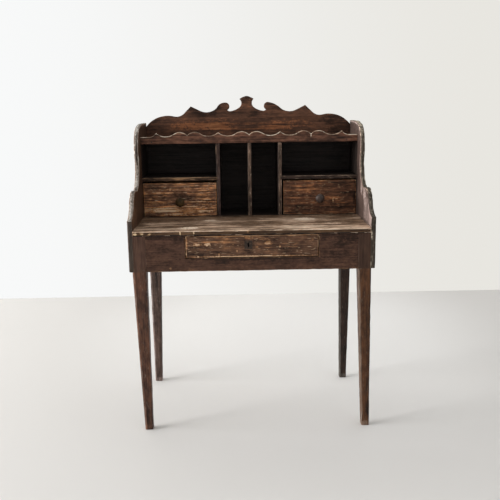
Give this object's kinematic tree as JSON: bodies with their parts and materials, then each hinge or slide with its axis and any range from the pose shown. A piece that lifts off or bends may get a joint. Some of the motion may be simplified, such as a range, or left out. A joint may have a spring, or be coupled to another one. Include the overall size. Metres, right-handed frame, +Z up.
{
  "type": "bonheur du jour writing desk",
  "caption": "Country writing desk on tapered legs, with a locking apron drawer and an upper case of pigeonholes, small drawers, a wavy gallery rail and a sawn crest.",
  "frame": {"origin": "on the floor, under the middle of the desk's box", "axes": "+X to the right of a person at the desk, +Y to the back, +Z up"},
  "size_m": [0.87, 0.525, 1.21],
  "materials": {
    "stained_pine": "dark brown stain, worn",
    "writing_top_pine": "grey-brown, scuffed",
    "worn_drawer_pine": "stain worn to orange-brown grain",
    "raw_pine": "unfinished, aged",
    "knob_wood": "dark, handled",
    "iron": "dark, slightly rusted"
  },
  "bodies": {
    "carcase": {"back_board_lower": "stained_pine", "back_board_upper": "stained_pine", "back_nails": "iron", "crest_board": "stained_pine", "divider_left": "stained_pine", "divider_middle": "stained_pine", "divider_right": "stained_pine", "drawer_guide_left": "raw_pine", "drawer_guide_right": "raw_pine", "drawer_runner_left": "raw_pine", "drawer_runner_right": "raw_pine", "drawer_stops": "raw_pine", "front_apron": "stained_pine", "gallery_rail": "stained_pine", "leg_front_left": "stained_pine", "leg_front_right": "stained_pine", "leg_rear_left": "stained_pine", "leg_rear_right": "stained_pine", "rail_nails": "iron", "rear_apron": "stained_pine", "runner_nails": "iron", "shelf_left": "stained_pine", "shelf_right": "stained_pine", "side_board_left": "stained_pine", "side_board_nails": "iron", "side_board_right": "stained_pine", "top_nails": "iron", "top_shelf": "stained_pine", "writing_top_front_plank": "writing_top_pine", "writing_top_rear_plank": "writing_top_pine"},
    "centre_drawer": {"centre_drawer_back": "raw_pine", "centre_drawer_bottom": "raw_pine", "centre_drawer_front": "worn_drawer_pine", "centre_drawer_nails": "iron", "centre_drawer_side_left": "raw_pine", "centre_drawer_side_right": "raw_pine", "keyhole_plate": "iron", "lock_case": "iron", "lock_screws": "iron"},
    "lock_bolt": {"lock_bolt": "iron"},
    "small_drawer_left": {"small_drawer_left_back": "raw_pine", "small_drawer_left_bottom": "raw_pine", "small_drawer_left_front": "worn_drawer_pine", "small_drawer_left_knob": "knob_wood", "small_drawer_left_nails": "iron", "small_drawer_left_side_left": "raw_pine", "small_drawer_left_side_right": "raw_pine"},
    "small_drawer_right": {"small_drawer_right_back": "raw_pine", "small_drawer_right_bottom": "raw_pine", "small_drawer_right_front": "worn_drawer_pine", "small_drawer_right_knob": "knob_wood", "small_drawer_right_nails": "iron", "small_drawer_right_side_left": "raw_pine", "small_drawer_right_side_right": "raw_pine"}
  },
  "joints": [
    {"name": "centre_drawer_slide", "type": "slide", "parent": "carcase", "child": "centre_drawer", "axis": [0, -1, 0], "range_m": [0, 0.28]},
    {"name": "lock_bolt_slide", "type": "slide", "parent": "centre_drawer", "child": "lock_bolt", "axis": [0, 0, 1], "range_m": [0, 0.007]},
    {"name": "small_drawer_left_slide", "type": "slide", "parent": "carcase", "child": "small_drawer_left", "axis": [0, -1, 0], "range_m": [0, 0.13]},
    {"name": "small_drawer_right_slide", "type": "slide", "parent": "carcase", "child": "small_drawer_right", "axis": [0, -1, 0], "range_m": [0, 0.13]}
  ]
}
